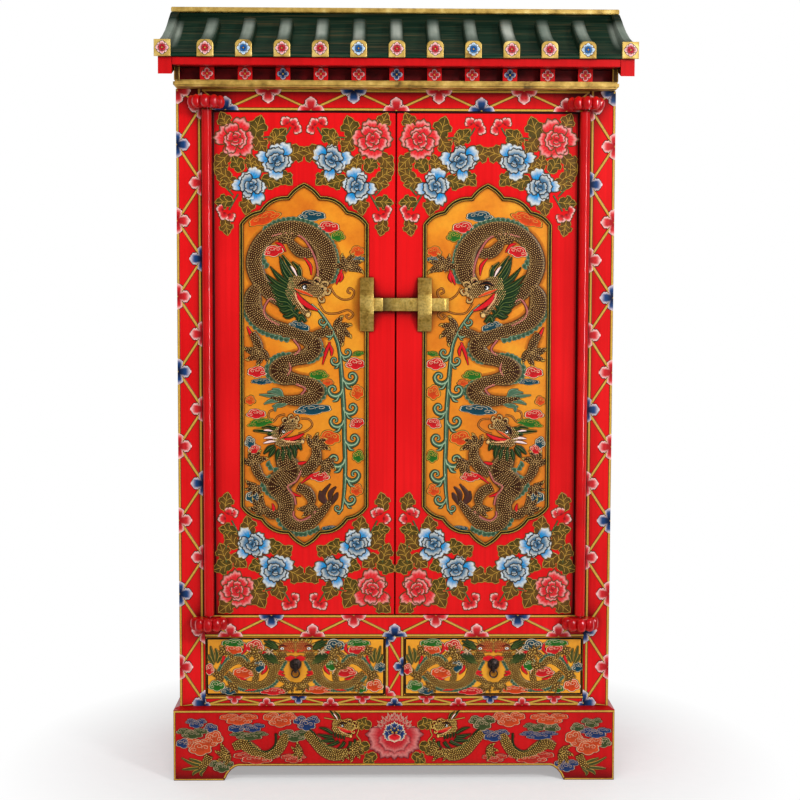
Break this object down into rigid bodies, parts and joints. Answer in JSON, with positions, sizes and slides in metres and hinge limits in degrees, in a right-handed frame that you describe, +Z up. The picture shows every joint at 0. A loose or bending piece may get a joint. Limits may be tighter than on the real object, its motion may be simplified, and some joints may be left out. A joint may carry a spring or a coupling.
{
  "type": "pagoda armoire",
  "caption": "Red-lacquered armoire with a tiled pagoda roof, two doors on round posts held by a sliding bolt, drawers with ring pulls and a bracket-foot plinth.",
  "frame": {"origin": "on the floor, under the middle of the whole armoire", "axes": "+Z up, the doors and drawers face -Y, +X to the right of someone facing the doors"},
  "size_m": [1.1322, 0.5816, 1.9],
  "materials": {
    "red_lacquer": "gloss lacquer on wood",
    "amber_lacquer": "gloss lacquer on wood",
    "dark_green_lacquer": "gloss lacquer on wood",
    "roof_green_paint": "worn satin paint on wood",
    "gold_paint": "rubbed gold paint on wood",
    "aged_brass": "aged, lightly brushed",
    "dark_iron": "dark, hand-worn",
    "plain_wood": "bare, oiled"
  },
  "bodies": {
    "cabinet": {"plinth_front": "red_lacquer", "plinth_left": "red_lacquer", "plinth_right": "red_lacquer", "plinth_back": "red_lacquer", "left_side": "red_lacquer", "right_side": "red_lacquer", "back_panel": "plain_wood", "bottom_board": "plain_wood", "cabinet_floor": "plain_wood", "shelf": "plain_wood", "hanging_rail": "plain_wood", "left_stile": "red_lacquer", "right_stile": "red_lacquer", "top_rail": "red_lacquer", "middle_rail": "red_lacquer", "bottom_rail": "red_lacquer", "drawer_divider": "red_lacquer", "drawer_guide_left": "plain_wood", "drawer_guide_centre": "plain_wood", "drawer_guide_right": "plain_wood", "left_top_socket": "red_lacquer", "left_bottom_socket": "red_lacquer", "right_top_socket": "red_lacquer", "right_bottom_socket": "red_lacquer", "cornice": "gold_paint", "frieze": "red_lacquer", "rafter_ends": "red_lacquer", "eave_board": "red_lacquer", "left_gable": "red_lacquer", "right_gable": "red_lacquer", "roof_deck": "roof_green_paint", "tile_caps": "gold_paint", "roof_top": "roof_green_paint", "ridge_trim": "gold_paint", "roof_back": "red_lacquer"},
    "left_door": {"left_door_post": "red_lacquer", "left_door_board": "red_lacquer", "left_door_panel": "amber_lacquer", "left_door_rim": "dark_green_lacquer", "left_keeper": "aged_brass"},
    "right_door": {"right_door_post": "red_lacquer", "right_door_board": "red_lacquer", "right_door_panel": "amber_lacquer", "right_door_rim": "dark_green_lacquer", "right_keeper": "aged_brass"},
    "bolt": {"bolt": "aged_brass"},
    "left_drawer": {"left_drawer_front": "amber_lacquer", "left_drawer_inner_side": "plain_wood", "left_drawer_outer_side": "plain_wood", "left_drawer_back": "plain_wood", "left_drawer_bottom": "plain_wood", "left_pull_boss": "dark_iron"},
    "right_drawer": {"right_drawer_front": "amber_lacquer", "right_drawer_inner_side": "plain_wood", "right_drawer_outer_side": "plain_wood", "right_drawer_back": "plain_wood", "right_drawer_bottom": "plain_wood", "right_pull_boss": "dark_iron"},
    "left_ring": {"left_pull_ring": "dark_iron"},
    "right_ring": {"right_pull_ring": "dark_iron"}
  },
  "joints": [
    {"name": "left_door_swing", "type": "hinge", "parent": "cabinet", "child": "left_door", "pos_m": [-0.452, -0.2192, 0.4079], "axis": [0, 0, -1], "range_deg": [0, 160]},
    {"name": "right_door_swing", "type": "hinge", "parent": "cabinet", "child": "right_door", "pos_m": [0.452, -0.2192, 0.4079], "axis": [0, 0, 1], "range_deg": [0, 160]},
    {"name": "bolt_slide", "type": "slide", "parent": "right_door", "child": "bolt", "axis": [1, 0, 0], "range_m": [0, 0.088]},
    {"name": "left_drawer_slide", "type": "slide", "parent": "cabinet", "child": "left_drawer", "axis": [0, -1, 0], "range_m": [0, 0.35]},
    {"name": "right_drawer_slide", "type": "slide", "parent": "cabinet", "child": "right_drawer", "axis": [0, -1, 0], "range_m": [0, 0.35]},
    {"name": "left_ring_swing", "type": "hinge", "parent": "left_drawer", "child": "left_ring", "pos_m": [-0.24255, -0.2177, 0.2727], "axis": [-1, 0, 0], "range_deg": [0, 100]},
    {"name": "right_ring_swing", "type": "hinge", "parent": "right_drawer", "child": "right_ring", "pos_m": [0.24255, -0.2177, 0.2727], "axis": [-1, 0, 0], "range_deg": [0, 100]}
  ]
}
